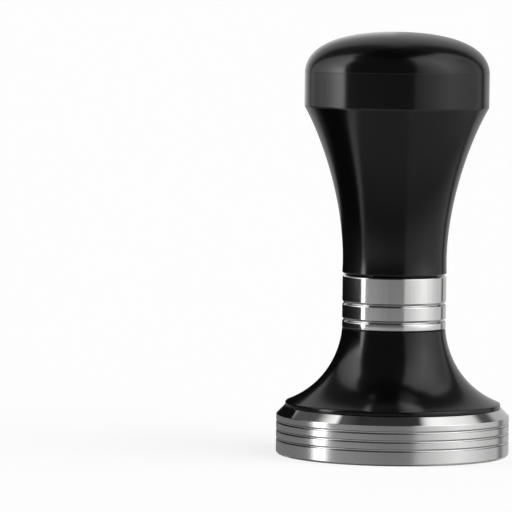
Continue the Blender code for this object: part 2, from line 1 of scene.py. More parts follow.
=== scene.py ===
# %% [markdown]
# # A calibrated espresso tamper
#
# A barista presses ground coffee flat in its basket with this tool. A heavy steel disc does the
# pressing, a black hourglass handle fits the palm, and a preloaded spring inside lets the handle
# give a little once the pressure is right. Almost every piece comes off a lathe, so this lesson
# models the way a lathe works: draw half of a section, then spin it once round the axis.
#
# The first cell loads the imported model. It fixes where every piece is, so all places below are
# read from it. Everything is in metres, the axis of the tamper is the Z axis, and it stands on z = 0.

# %% Load the frame
import math

import bmesh
import bpy
from mathutils import Matrix, Vector
from mathutils.geometry import interpolate_bezier


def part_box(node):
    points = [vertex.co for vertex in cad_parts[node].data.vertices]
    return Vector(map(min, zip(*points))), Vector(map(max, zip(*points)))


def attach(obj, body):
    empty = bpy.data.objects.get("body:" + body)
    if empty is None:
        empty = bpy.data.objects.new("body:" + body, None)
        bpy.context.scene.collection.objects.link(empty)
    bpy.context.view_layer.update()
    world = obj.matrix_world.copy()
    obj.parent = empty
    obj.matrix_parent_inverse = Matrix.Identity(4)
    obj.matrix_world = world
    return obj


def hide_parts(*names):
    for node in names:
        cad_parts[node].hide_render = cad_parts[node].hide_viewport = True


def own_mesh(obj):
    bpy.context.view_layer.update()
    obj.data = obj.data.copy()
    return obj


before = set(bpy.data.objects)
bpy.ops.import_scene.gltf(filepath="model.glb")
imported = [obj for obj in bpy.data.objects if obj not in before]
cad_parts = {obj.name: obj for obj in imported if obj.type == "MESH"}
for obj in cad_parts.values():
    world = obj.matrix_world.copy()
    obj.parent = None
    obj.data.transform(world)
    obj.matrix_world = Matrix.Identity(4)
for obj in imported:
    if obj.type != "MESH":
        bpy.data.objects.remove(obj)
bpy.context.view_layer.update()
MM = 0.001


# %% [markdown]
# ## Levels and radii
#
# A turned piece needs only two kinds of number, a radius and a height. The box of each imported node
# gives both: half its width is its largest radius, and its lowest and highest corners are its two
# ends. A small helper reads them once, and later cells use its answer by name.

# %% Read a node's radius and ends
def radius_foot_top(node):
    """The largest radius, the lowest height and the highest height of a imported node."""
    low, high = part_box(node)
    return (high[1] - low[1]) / 2, low[2], high[2]


base_radius, base_foot, base_top = radius_foot_top("base_disc")
skirt_radius, skirt_foot, skirt_top = radius_foot_top("flared_skirt")
neck_radius, sleeve_foot, spigot_top = radius_foot_top("neck_sleeve")
shaft_flange_radius, stud_foot, shaft_top = radius_foot_top("centre_shaft")
knob_radius, handle_foot, handle_top = radius_foot_top("handle_body")
cap_radius, cap_spigot_foot, cap_top = radius_foot_top("top_cap")
main_radii = (base_radius, neck_radius, knob_radius)
print("disc, neck and knob radii in mm:", [round(radius / MM, 2) for radius in main_radii])


# %% [markdown]
# ## The camera
#
# Product pictures are taken from far away with a long lens, so that upright edges stay upright.
# The camera stands 1.2 m in front and 13 cm up, and looks a little down. It is turned so that the
# tamper stands to the right of the middle, and rolled by less than a degree. A matrix product keeps
# the three turns apart: first the roll, then the tilt, then the turn to the side.

# %% Place the camera
CAMERA_DISTANCE = 1.2
CAMERA_HEIGHT = 0.1304
CAMERA_LENS = 339.8  # millimetres, on a sensor 36 mm wide
CAMERA_DOWN = math.radians(3.88)
CAMERA_ASIDE = math.radians(1.648)
CAMERA_ROLL = math.radians(0.693)

camera_data = bpy.data.cameras.new("camera")
camera_data.lens = CAMERA_LENS
camera_data.sensor_width = 36.0
camera_data.clip_start = 0.01
camera_data.clip_end = 60.0
camera = bpy.data.objects.new("camera", camera_data)
bpy.context.collection.objects.link(camera)
camera.matrix_world = (
    Matrix.Translation((0.0, -CAMERA_DISTANCE, CAMERA_HEIGHT))
    @ Matrix.Rotation(CAMERA_ASIDE, 4, "Z")
    @ Matrix.Rotation(math.pi / 2 - CAMERA_DOWN, 4, "X")
    @ Matrix.Rotation(CAMERA_ROLL, 4, "Z")
)
bpy.context.scene.camera = camera
print("camera at", [round(value, 3) for value in camera.location])


# %% [markdown]
# ## Shader maths as Python
#
# A material is a graph of nodes, and a formula such as 1 - distance / width needs three of them.
# Written out one by one, the formula is lost. This class wraps an output socket and gives it
# Python's own operators, so the formula reads as a formula and the nodes are added behind it.
# Every other kind of node comes from one method, `node`. The Mix node has several sockets that are
# all called A, B and Result, one set for each kind of data, so the colour set is picked by number.

# %% Wrap a socket
MIX_FACTOR, MIX_FIRST, MIX_SECOND, MIX_COLOUR = 0, 6, 7, 2


class Wire:
    """An output socket of a material's node tree, which can be used in Python expressions."""

    def __init__(self, tree, socket=None):
        self.tree = tree
        self.socket = socket

    def node(self, kind, settings=None, inputs=None, output=0):
        """Add a node: its settings first, then the values or wires of its inputs."""
        made = self.tree.nodes.new(kind)
        for name, value in (settings or {}).items():
            setattr(made, name, value)
        for name, value in (inputs or {}).items():
            self.feed(made.inputs[name], value)
        return Wire(self.tree, made.outputs[output])

    def feed(self, socket, value):
        """Link a wire to an input socket, or set the socket's own value."""
        if isinstance(value, Wire):
            self.tree.links.new(value.socket, socket)
        else:
            socket.default_value = value

    def maths(self, operation, *values):
        """A Math node with the given operation and up to three values or wires."""
        return self.node("ShaderNodeMath", {"operation": operation}, dict(enumerate(values)))

    def __add__(self, other):
        return self.maths("ADD", self, other)

    __radd__ = __add__

    def __sub__(self, other):
        return self.maths("SUBTRACT", self, other)

    def __rsub__(self, other):
        return self.maths("SUBTRACT", other, self)

    def __mul__(self, other):
        return self.maths("MULTIPLY", self, other)

    __rmul__ = __mul__

    def __truediv__(self, other):
        return self.maths("DIVIDE", self, other)

    def absolute(self):
        return self.maths("ABSOLUTE", self)

    def clipped(self):
        """Limit to the range from 0 to 1."""
        return self.maths("MINIMUM", self.maths("MAXIMUM", self, 0.0), 1.0)

    def near(self, place, width):
        """1 at a place, falling to 0 at a distance of width from it."""
        return (1.0 - (self - place).absolute() / width).clipped()

    def beyond(self, place, width):
        """0 below a place and 1 above it, with a soft step of the given width."""
        return ((self - place) / width + 0.5).clipped()

    def blend(self, first, second):
        """A colour between two colours, with this wire as the share of the second."""
        return self.node(
            "ShaderNodeMix",
            {"data_type": "RGBA"},
            {MIX_FACTOR: self, MIX_FIRST: first, MIX_SECOND: second},
            output=MIX_COLOUR,
        )


# %% [markdown]
# ## Where a point is on a turned piece
#
# Lathe marks run round the axis, so a pattern only has to know how far out and how high a point
# is. Object coordinates give the place in metres. The square root of x squared plus y squared is
# the radius. Height minus radius changes along every flat, cylinder and outward slope, and lathe
# marks are drawn with it.

# %% Start a finish
class Finish:
    """A new material with a Principled shader, and the coordinates that turned pieces need."""

    def __init__(self, name):
        self.material = bpy.data.materials.new(name)
        self.material.use_nodes = True
        self.tree = self.material.node_tree
        self.shader = self.tree.nodes["Principled BSDF"]
        start = Wire(self.tree)
        self.place = start.node("ShaderNodeTexCoord", output="Object")
        split = self.place.node("ShaderNodeSeparateXYZ", inputs={0: self.place})
        x, y, z = (Wire(self.tree, socket) for socket in split.socket.node.outputs)
        self.parts = (x, y, z)
        self.height = z
        self.radius = (x * x + y * y).maths("SQRT", x * x + y * y)
        self.along = z - self.radius

    def set(self, **values):
        """Set or link the shader's sockets, with _ for a space in a socket's name."""
        for name, value in values.items():
            Wire(self.tree).feed(self.shader.inputs[name.replace("_", " ")], value)

    def rings(self, width):
        """Lathe marks: noise that changes along the section and never round the axis."""
        return self.along.node(
            "ShaderNodeTexNoise",
            {"noise_dimensions": "1D"},
            {"W": self.along, "Scale": 1.0 / width, "Detail": 3.0, "Roughness": 0.6},
        )

    def streaks(self, count):
        """Streaks along the axis: noise that changes round the axis and hardly along it."""
        x, y, z = self.parts
        direction = x.node(
            "ShaderNodeCombineXYZ", inputs={0: x / self.radius, 1: y / self.radius, 2: z * 4.0}
        )
        return direction.node(
            "ShaderNodeTexNoise",
            {"noise_dimensions": "3D"},
            {"Vector": direction, "Scale": count / math.tau, "Detail": 3.0, "Roughness": 0.7},
        )

    def clouds(self, size, detail=3.0):
        """Soft blotches of about the given size."""
        return self.place.node(
            "ShaderNodeTexNoise",
            {"noise_dimensions": "3D"},
            {"Vector": self.place, "Scale": 1.0 / size, "Detail": detail},
        )

    def bump(self, height, strength, depth):
        """A normal that follows a height pattern of the given depth in metres."""
        return height.node(
            "ShaderNodeBump", inputs={"Strength": strength, "Distance": depth, "Height": height}
        )


# %% [markdown]
# ## Turned stainless steel
#
# The disc and the neck sleeve are stainless steel straight from the lathe. Three things make it
# read as turned: rings of slightly different roughness, a very fine ring bump, and anisotropy, which
# stretches each highlight across the marks. Without a tangent link, Cycles takes the direction round
# the object's Z axis as the tangent, which is the way the tool went, and a quarter turn of the
# anisotropy stretches the highlight across it. Chamfers are polished, so masks on height lower the
# roughness there. Other masks paint shade into the colour: darker bands at the grooves, and near
# black below a given radius, which stands for the shade inside the seam above the sleeve.

# %% Make the turned steel
STEEL = (0.86, 0.86, 0.85, 1.0)
STEEL_SHADE = (0.70, 0.70, 0.70, 1.0)
# Painted shade for the grooves.
GROOVE_PAINTED_SHADE = (0.30, 0.30, 0.30, 1.0)
# Painted shade: near black for steel inside the seam above the sleeve.
SEAM_PAINTED_SHADE = (0.02, 0.02, 0.02, 1.0)


def turned_steel(
    name, polished, shaded_bands, satin=0.24, mirror=0.07, lines=0.10, streaks=0.0, tone=1.0, shade_inside_radius=-0.001
):
    """Lathe-turned steel. The two lists after the name hold (height, half width) bands: polished
    steel, and painted shade at the grooves.

    satin and mirror are two roughnesses. Inside the radius in the last argument the colour is painted
    near black, a painted shade for steel deep in a seam.
    """
    steel = Finish(name)
    fine = steel.rings(0.00022)
    broad = steel.rings(0.0011)
    smudge = steel.clouds(0.012)
    shine = fine * 0.0
    for height, half_width in polished:
        shine = shine + steel.height.near(height, half_width * 1.2) * 4.0
    shine = shine.clipped()
    # A mask of painted shade, which darkens the colour at the grooves.
    groove_shade_mask = fine * 0.0
    for height, half_width in shaded_bands:
        groove_shade_mask = groove_shade_mask + steel.height.near(height, half_width * 0.9) * 3.0
    groove_shade_mask = groove_shade_mask.clipped()
    marks = fine * 0.6 + broad * 0.4
    roughness = satin + (marks - 0.5) * lines + (smudge - 0.5) * 0.05
    around = steel.streaks(110.0)
    shade = (marks * 0.5 + smudge * 0.3 + (around - 0.5) * streaks).clipped()
    body = shade.blend(tuple(tone * part for part in STEEL[:3]) + (1.0,), STEEL_SHADE)
    # The colour is steel, with painted shade at the grooves and near-black painted shade inside the
    # seam.
    steel.set(
        Base_Color=steel.radius.beyond(shade_inside_radius, 0.0002).blend(SEAM_PAINTED_SHADE, groove_shade_mask.blend(body, GROOVE_PAINTED_SHADE)),
        Metallic=1.0,
        Roughness=roughness * (1.0 - shine) + shine * mirror,
        Anisotropic=0.6,
        Anisotropic_Rotation=0.25,
        Normal=steel.bump(marks, 0.12, 0.00001),
    )
    return steel.material


# %% [markdown]
# ## Black anodised aluminium
#
# Anodising grows a clear oxide on the metal and fills it with black dye. Light that enters is
# swallowed, and what returns comes from the smooth top of the oxide, so the piece is shaded as a
# very dark body with a satin gloss and not as a metal. The lathe marks of the blank still show
# through as faint rings. Sharp edges wear first and go a little grey.

# %% Make the black anodised finish
ANODISED = (0.0014, 0.0014, 0.0015, 1.0)
ANODISED_WORN = (0.02, 0.02, 0.02, 1.0)


def black_anodised(name, edges):
    """Satin black with faint rings. edges is a list of heights of sharp corners that wear."""
    black = Finish(name)
    fine = black.rings(0.0003)
    broad = black.rings(0.002)
    smudge = black.clouds(0.015)
    grain = black.clouds(0.0004, detail=2.0)
    wear = grain * 0.0
    for height in edges:
        wear = wear + black.height.near(height, 0.00035)
    wear = (wear * (0.4 + grain * 0.8)).clipped()
    black.set(
        Base_Color=wear.blend(ANODISED, ANODISED_WORN),
        Metallic=0.0,
        Roughness=0.17 + (fine - 0.5) * 0.06 + (broad - 0.5) * 0.03 + (smudge - 0.5) * 0.05,
        IOR=1.45,
        Anisotropic=0.3,
        Anisotropic_Rotation=0.25,
        Normal=black.bump(fine * 0.7 + grain * 0.3, 0.12, 0.00002),
    )
    return black.material


# %% [markdown]
# ## The finishes inside
#
# The shaft, pins, nuts and seats are plain machined steel, darker and duller than the disc. The
# spring wire is drawn, so its marks run along it and it keeps an oily blue-grey. The bearings are
# bronze and acetal, and the seals are rubber with a faint bloom. One function covers the metals.

# %% Make the hidden finishes
def machined_metal(name, light, dark, roughness, ring_width=0.0004):
    """Machined metal between two shades, with rings and a few stains."""
    metal = Finish(name)
    marks = metal.rings(ring_width)
    stain = metal.clouds(0.004)
    metal.set(
        Base_Color=(marks * 0.4 + stain * 0.5).clipped().blend(light, dark),
        Metallic=1.0,
        Roughness=roughness + (marks - 0.5) * 0.15 + (stain - 0.5) * 0.1,
        Anisotropic=0.3,
        Anisotropic_Rotation=0.25,
        Normal=metal.bump(marks, 0.3, 0.00003),
    )
    return metal.material


def moulded(name, light, dark, roughness, grain_size, depth):
    """Rubber or plastic with a fine moulded grain."""
    body = Finish(name)
    grain = body.clouds(grain_size)
    bloom = body.clouds(0.006)
    body.set(
        Base_Color=bloom.blend(light, dark),
        Metallic=0.0,
        Roughness=roughness + (bloom - 0.5) * 0.12,
        Normal=body.bump(grain, 0.3, depth),
    )
    return body.material


shaft_steel = machined_metal("shaft_steel", (0.52, 0.52, 0.53, 1.0), (0.38, 0.38, 0.39, 1.0), 0.30)
spring_steel = machined_metal(
    "spring_steel", (0.36, 0.38, 0.41, 1.0), (0.22, 0.23, 0.26, 1.0), 0.28, 0.0006
)
bearing_bronze = machined_metal(
    "bearing_bronze", (0.66, 0.43, 0.20, 1.0), (0.48, 0.29, 0.12, 1.0), 0.34
)
bush_polymer = moulded(
    "bush_polymer", (0.80, 0.78, 0.72, 1.0), (0.72, 0.69, 0.62, 1.0), 0.45, 0.0005, 0.00002
)
seal_rubber = moulded(
    "seal_rubber", (0.012, 0.012, 0.012, 1.0), (0.03, 0.03, 0.03, 1.0), 0.55, 0.0003, 0.00003
)
print("finishes made:", len(bpy.data.materials))


# %% [markdown]
# ## The lathe
#
# `spin_outline` is the lathe of this lesson. It takes half a section as (radius, height) points,
# joins them with edges and sweeps them once round Z. A third number on a point asks for a rounded
# corner: bevel with affect="VERTICES" cuts a corner of a wire as neatly as it cuts one of a solid,
# and doing it before the spin rounds the whole rim at once. An outline that starts and ends on the
# axis stays open, and its ends close into poles when doubles are merged.

# %% Spin an outline into a solid
TURN_STEPS = 240
FINE_STEPS = 96


def sweep(shape, swept, steps, turns=1, rise=0.0, closed=False):
    """Sweep parts of a shape round the Z axis, with a rise at each step. Returns the last copy."""
    return bmesh.ops.spin(
        shape, geom=swept, cent=(0.0, 0.0, 0.0), axis=(0.0, 0.0, 1.0), dvec=(0.0, 0.0, rise),
        angle=math.tau * turns, steps=steps, use_merge=closed,
    )["geom_last"]


def draw_outline(shape, outline, closed):
    """Add an outline to a bmesh as a wire, with its marked corners rounded."""
    points = [shape.verts.new((point[0], 0.0, point[1])) for point in outline]
    for start, end in zip(points, points[1:]):
        shape.edges.new((start, end))
    if closed:
        shape.edges.new((points[-1], points[0]))
    for point, vert in zip(outline, points):
        if len(point) == 3:
            bmesh.ops.bevel(
                shape, geom=[vert], offset=point[2], offset_type="OFFSET", segments=4,
                profile=0.5, affect="VERTICES", material=-1,
            )


def spin_outline(outline, steps=TURN_STEPS, closed=True):
    """Half a section, spun once round the Z axis into a closed shape."""
    shape = bmesh.new()
    draw_outline(shape, outline, closed)
    sweep(shape, shape.verts[:] + shape.edges[:], steps, closed=True)
    return shape


# %% [markdown]
# Every shape then goes through the same last steps: merge doubles, point the normals out, shade it
# smooth with sharp edges kept, name it, hang it on the empty of the body that carries it, hide the
# imported node it stands for and give it its finish. A Weighted Normal modifier keeps wide flats flat
# beside narrow rounded corners.

# %% Finish a piece
MERGE_DISTANCE = 0.0000005
SHARP_ANGLE = math.radians(35)


def as_object(name, shape):
    """Turn a bmesh into an object of the scene, and let go of the bmesh."""
    mesh = bpy.data.meshes.new(name)
    shape.to_mesh(mesh)
    shape.free()
    made = bpy.data.objects.new(name, mesh)
    bpy.context.collection.objects.link(made)
    return made


def add_piece(name, shape, body, material, node=None):
    """Turn a bmesh into a finished object that rides on a body of the frame."""
    bmesh.ops.remove_doubles(shape, verts=shape.verts, dist=MERGE_DISTANCE)
    bmesh.ops.recalc_face_normals(shape, faces=shape.faces)
    piece = as_object(name, shape)
    mesh = piece.data
    mesh.shade_smooth()
    mesh.set_sharp_from_angle(angle=SHARP_ANGLE)
    mesh.materials.append(material)
    weighting = piece.modifiers.new("even_shading", "WEIGHTED_NORMAL")
    weighting.keep_sharp = True
    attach(piece, body)
    if node:
        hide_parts(node)
    print(f"{name}: {len(mesh.polygons)} faces")
    return piece


def curve_points(start, start_pull, end_pull, end, count):
    """Points along a Bezier curve between two (radius, height) places."""
    handles = [Vector((*place, 0.0)) for place in (start, start_pull, end_pull, end)]
    return [(point.x, point.y) for point in interpolate_bezier(*handles, count)]


def vee_groove(radius, middle, width, depth, corner):
    """A groove with rounded edges, from its lower edge up."""
    return [
        (radius, middle - width / 2, corner),
        (radius - depth, middle, corner),
        (radius, middle + width / 2, corner),
    ]


# %% [markdown]
# Some pieces have cross holes, slots or flats, which no spin can make. For those, one shape is taken
# out of another with a Boolean modifier on two scratch objects, and the result becomes a bmesh again.

# %% Cut one shape with another
FIT_GAP = 0.0001  # between a pin, shaft or bush and its hole
SEAT_GAP = 0.0003  # beyond the end of a piece that sits in a pocket
CUT_ROOM = 0.0005  # how far a cutting shape runs past the surface it cuts
DRILL_SIDES = 48


def applied(piece):
    """What a piece's modifiers make of it, as a bmesh. The piece itself is removed."""
    graph = bpy.context.evaluated_depsgraph_get()
    made = bpy.data.meshes.new_from_object(piece.evaluated_get(graph))
    shape = bmesh.new()
    shape.from_mesh(made)
    bpy.data.meshes.remove(made)
    bpy.data.objects.remove(piece)
    return shape


def scratch(shape):
    """A bmesh as a passing object for a Boolean."""
    bmesh.ops.recalc_face_normals(shape, faces=shape.faces)
    return as_object("scratch", shape)


def combine(first, second, operation):
    """The Boolean of two shapes, as a new shape."""
    first, second = scratch(first), scratch(second)
    boolean = first.modifiers.new("boolean", "BOOLEAN")
    boolean.operation = operation
    boolean.solver = "EXACT"
    boolean.object = second
    shape = applied(first)
    bpy.data.objects.remove(second)
    return shape


def drilled(shape, radius, start, end):
    """The shape with a round hole through it, from one place to another."""
    start, end = Vector(start), Vector(end)
    drill = bmesh.new()
    bmesh.ops.create_cone(
        drill, cap_ends=True, segments=DRILL_SIDES, radius1=radius, radius2=radius,
        depth=(end - start).length,
    )
    turn = (end - start).to_track_quat("Z", "Y").to_matrix()
    bmesh.ops.rotate(drill, verts=drill.verts, matrix=turn)
    bmesh.ops.translate(drill, verts=drill.verts, vec=(start + end) / 2)
    return combine(shape, drill, "DIFFERENCE")


# %% [markdown]
# ## The steel disc
#
# The disc is the heaviest piece. Its side carries three shallow grooves, its top edge a wide
# polished chamfer, and its foot a fine one that keeps it from scratching the basket. Every outer
# corner gets a radius of a tenth of a millimetre or less, because a real edge always catches a line
# of light. The threaded hole is blind, so the tamping face below stays whole.

# %% Turn the disc
GROOVE_HEIGHTS = (0.0038, 0.0060, 0.0082)
TOP_CHAMFER = 0.0020
FOOT_CHAMFER = 0.0005
DISC_CORNER = 0.00008
DISC_GROOVE = (0.0007, 0.0002, 0.00006)  # width, depth, corner radius
GROOVE_SHADE_OFFSETS = (-0.00025, 0.00028)  # where painted shade darkens a groove's two edges, measured from its middle
GROOVE_SHADE_HALF_WIDTH = 0.00015
STUD_RADIUS = 0.0040
THREAD_ROOM = 0.0003
HOLE_CHAMFER = 0.0004
HOLE_ROOM = 0.0008

hole_radius = STUD_RADIUS + THREAD_ROOM
hole_floor = stud_foot - HOLE_ROOM
chamfer_middle = base_top - TOP_CHAMFER / 2
disc_steel = turned_steel(
    "disc_steel",
    polished=[(chamfer_middle, TOP_CHAMFER / 2), (FOOT_CHAMFER / 2, FOOT_CHAMFER / 2)],
    # Painted shade darkens both edges of each groove.
    shaded_bands=[(height + side, GROOVE_SHADE_HALF_WIDTH) for height in GROOVE_HEIGHTS for side in GROOVE_SHADE_OFFSETS],
    tone=0.88,
)
outline = [
    (0.0, base_foot),
    (base_radius - FOOT_CHAMFER, base_foot, DISC_CORNER),
    (base_radius, base_foot + FOOT_CHAMFER, DISC_CORNER),
]
for height in GROOVE_HEIGHTS:
    outline += vee_groove(base_radius, height, *DISC_GROOVE)
outline += [
    (base_radius, base_top - TOP_CHAMFER, DISC_CORNER),
    (base_radius - TOP_CHAMFER, base_top, DISC_CORNER),
    (hole_radius + HOLE_CHAMFER, base_top),
    (hole_radius, base_top - HOLE_CHAMFER),
    (hole_radius, hole_floor),
    (0.0, hole_floor),
]
disc_shape = spin_outline(outline, closed=False)
add_piece("tamping_disc", disc_shape, "base", disc_steel, "base_disc")


# %% [markdown]
# ## The flared skirt
#
# The skirt is the black cone that carries the load from the neck to the rim of the disc. Its outer
# line is one Bezier curve: it leaves the thin rim at a low angle and turns upright at the neck. The
# inside follows the same curve a few millimetres in, which is how a turner hollows a flare. A small
# groove in the foot holds a seal, and a hole through the top takes the dowel.

# %% Turn the skirt
RIM_HEIGHT = 0.0008
FLARE_PULL = (0.0130, 0.0051)
NECK_PULL = 0.0009
SKIRT_WALL = 0.0036
WEB_HEIGHT = 0.0040
SKIRT_SEAM = 0.0002  # how far foot and top reach into the seams there
SEAL_ROOM = 0.0001
RIM_CORNERS = (0.00012, 0.0003)  # corner radii at the rim's foot and at its top
SKIRT_TOP_CORNER = 0.00008

dowel_low, dowel_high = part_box("sleeve_dowel")
dowel_foot, dowel_top = dowel_low[2], dowel_high[2]
dowel_radius = (dowel_high[0] - dowel_low[0]) / 2
dowel_aside = (dowel_high[0] + dowel_low[0]) / 2
rim = (skirt_radius, skirt_foot + RIM_HEIGHT)
flare = curve_points(
    rim,
    (rim[0] - FLARE_PULL[0], rim[1] + FLARE_PULL[1]),
    (neck_radius, skirt_top - NECK_PULL),
    (neck_radius, skirt_top + SKIRT_SEAM),
    48,
)
web_foot = skirt_top - WEB_HEIGHT
inside = [(radius - SKIRT_WALL, height) for radius, height in flare if height < web_foot]
seal_outer_radius, seal_foot, seal_top = radius_foot_top("base_seal_ring")
seal_section = (seal_top - seal_foot) / 2
seal_circle = seal_outer_radius - seal_section
seal_groove = seal_section + SEAL_ROOM
outline = [
    (seal_circle + seal_groove, skirt_foot),
    (skirt_radius, skirt_foot - SKIRT_SEAM, RIM_CORNERS[0]),
    (*flare[0], RIM_CORNERS[1]),
    *flare[1:-1],
    (*flare[-1], SKIRT_TOP_CORNER),
    (hole_radius, skirt_top + SKIRT_SEAM),
    (hole_radius, web_foot),
    (inside[-1][0], web_foot),
    *inside[::-1],
    (inside[0][0], skirt_foot),
    (seal_circle - seal_groove, skirt_foot),
    (seal_circle - seal_groove, skirt_foot + 2 * seal_groove),
    (seal_circle + seal_groove, skirt_foot + 2 * seal_groove),
]
skirt_black = black_anodised("skirt_black", [])
skirt_shape = drilled(
    spin_outline(outline), dowel_radius + FIT_GAP,
    (dowel_aside, 0.0, dowel_foot - SEAT_GAP), (dowel_aside, 0.0, skirt_top + CUT_ROOM),
)
add_piece("flared_skirt_turned", skirt_shape, "core", skirt_black, "flared_skirt")


# %% [markdown]
# ## The neck sleeve
#
# A steel sleeve joins skirt and handle. Two grooves part it into a wide, a middle and a narrow
# band. Above its shoulder stands a thinner spigot, which the handle slides on and hides. The groove
# cut into the spigot holds a wiper ring that keeps coffee out of the seam.

# %% Turn the sleeve
SLEEVE_GROOVES = (0.0022, 0.0064)
SLEEVE_TOP_CHAMFER = 0.0004
SLEEVE_FOOT_CHAMFER = 0.0003
SLEEVE_FLOOR = 0.0025
SPIGOT_HEIGHT = 0.0072
SPIGOT_WALL = 0.0016
SLEEVE_GROOVE = (0.0010, 0.0004, 0.00006)  # width, depth, corner radius
SLEEVE_CORNER = 0.00005
# How far in from the sleeve's side the colour turns to near-black painted shade, for the spigot in the
# seam.
SLEEVE_SHADE_DEPTH = 0.0006

sleeve_top = spigot_top - SPIGOT_HEIGHT
lower_bush_radius = radius_foot_top("lower_guide_bush")[0]
spigot_radius = radius_foot_top("bump_stop_ring")[0]
sleeve_bore = spigot_radius - SPIGOT_WALL
wiper_radius, wiper_foot, wiper_top = radius_foot_top("neck_wiper_ring")
wiper_section = (wiper_top - wiper_foot) / 2
wiper_floor = wiper_radius - 2 * wiper_section - SEAL_ROOM
outline = [
    (neck_radius - SLEEVE_FOOT_CHAMFER, sleeve_foot, SLEEVE_CORNER),
    (neck_radius, sleeve_foot + SLEEVE_FOOT_CHAMFER, SLEEVE_CORNER),
]
for lift in SLEEVE_GROOVES:
    outline += vee_groove(neck_radius, sleeve_foot + lift, *SLEEVE_GROOVE)
outline += [
    (neck_radius, sleeve_top - SLEEVE_TOP_CHAMFER, SLEEVE_CORNER),
    (neck_radius - SLEEVE_TOP_CHAMFER, sleeve_top, SLEEVE_CORNER),
    (spigot_radius, sleeve_top),
    (spigot_radius, wiper_foot - SEAL_ROOM),
    (wiper_floor, wiper_foot - SEAL_ROOM),
    (wiper_floor, wiper_top + SEAL_ROOM),
    (spigot_radius, wiper_top + SEAL_ROOM),
    (spigot_radius, spigot_top, 0.0002),
    (sleeve_bore, spigot_top, 0.0002),
    (sleeve_bore, sleeve_foot + SLEEVE_FLOOR, 0.0003),
    (hole_radius, sleeve_foot + SLEEVE_FLOOR),
    (hole_radius, sleeve_foot),
]
sleeve_steel = turned_steel(
    "sleeve_steel",
    polished=[
        (sleeve_top - SLEEVE_TOP_CHAMFER / 2, SLEEVE_TOP_CHAMFER / 2),
        (sleeve_foot + SLEEVE_FOOT_CHAMFER / 2, SLEEVE_FOOT_CHAMFER / 2),
    ],
    # Painted shade darkens the lower half of each groove.
    shaded_bands=[(sleeve_foot + lift - 0.00025, 0.0002) for lift in SLEEVE_GROOVES],
    satin=0.15,
    lines=0.08,
    streaks=0.8,
    # Painted shade: below this radius the steel is coloured near black.
    shade_inside_radius=neck_radius - SLEEVE_SHADE_DEPTH,
)
sleeve_shape = drilled(
    spin_outline(outline), dowel_radius + FIT_GAP,
    (dowel_aside, 0.0, sleeve_foot - CUT_ROOM), (dowel_aside, 0.0, dowel_top + SEAT_GAP),
)
add_piece("neck_sleeve_turned", sleeve_shape, "core", sleeve_steel, "neck_sleeve")


# %% [markdown]
# ## The handle
#
# Seen from the side the handle is an hourglass that ends in a broad knob. Below the knob the line
# is one long Bezier curve, upright at the neck and steep under the knob. Inside, the bore changes in
# steps: a pocket for the lower bush, room for the spring, a web for the upper bush, a cavity for
# the nuts, and a wide mouth for the cap's thread. A slot across the web lets the cross pin hold the
# handle from turning while it slides.

# %% Turn the handle
HANDLE_FOOT_CHAMFER = 0.0002
HANDLE_FOOT_DROP = 0.00006  # into the seam above the sleeve
BAND_HEIGHT = 0.0084
WAIST_PULL = (0.0008, 0.0157)
KNOB_PULL = (0.0048, 0.0084)
HANDLE_PROUD = 0.0001
WEB_THICKNESS = 0.0080
PRESS_ROOM = 0.00045
CAP_SEAM = 0.00028
NUT_ROOM = 0.0012  # between the nuts' corners and the cavity's wall
CAP_SPIGOT_WALL = 0.0030
CAP_SEAL_WIDTH = 0.0024
BUSH_LEDGE = 0.00075

pin_low, pin_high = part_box("cross_pin")
knob_foot = handle_top - BAND_HEIGHT
foot_radius = neck_radius + HANDLE_PROUD
upper_bush_radius, upper_bush_foot, upper_bush_top = radius_foot_top("upper_guide_bush")
web_top = upper_bush_top
web_foot_handle = web_top - WEB_THICKNESS
nut_corner_radius = radius_foot_top("thrust_washer")[0]
cavity_radius = nut_corner_radius + NUT_ROOM
cap_spigot_radius = cavity_radius + CAP_SPIGOT_WALL
mouth_radius = cap_spigot_radius + THREAD_ROOM
seal_outer = mouth_radius + CAP_SEAL_WIDTH
cap_seal_foot = radius_foot_top("cap_seal_ring")[1]
bump_top = radius_foot_top("bump_stop_ring")[2]
spring_room = sleeve_bore + SPIGOT_WALL / 2
web_bore = upper_bush_radius - BUSH_LEDGE

flank = curve_points(
    (foot_radius, handle_foot + HANDLE_FOOT_CHAMFER),
    (foot_radius - WAIST_PULL[0], handle_foot + WAIST_PULL[1]),
    (knob_radius - KNOB_PULL[0], knob_foot - KNOB_PULL[1]),
    (knob_radius, knob_foot),
    72,
)
outline = [
    (foot_radius - HANDLE_FOOT_CHAMFER, handle_foot - HANDLE_FOOT_DROP),
    *flank[:-1],
    (*flank[-1], 0.00025),
    (knob_radius, handle_top + CAP_SEAM, 0.00003),
    (seal_outer, handle_top + CAP_SEAM),
    (seal_outer, cap_seal_foot - SEAT_GAP),
    (mouth_radius, cap_seal_foot - SEAT_GAP),
    (mouth_radius, cap_spigot_foot - SEAT_GAP),
    (cavity_radius, cap_spigot_foot - SEAT_GAP, 0.0003),
    (cavity_radius, web_top, 0.0005),
    (upper_bush_radius + FIT_GAP, web_top),
    (upper_bush_radius + FIT_GAP, upper_bush_foot - SEAT_GAP),
    (web_bore, upper_bush_foot - SEAT_GAP),
    (web_bore, web_foot_handle),
    (spring_room, web_foot_handle),
    (spring_room, bump_top + PRESS_ROOM),
    (lower_bush_radius + FIT_GAP, bump_top + PRESS_ROOM),
    (lower_bush_radius + FIT_GAP, handle_foot),
]
handle_black = black_anodised("handle_black", [knob_foot, handle_foot + 0.0001])
slot = bmesh.new()
bmesh.ops.create_cube(slot, size=1.0)
slot_foot = web_foot_handle - CUT_ROOM
slot_roof = pin_high[2] + PRESS_ROOM
slot_width = pin_high[1] - pin_low[1] + 2 * FIT_GAP
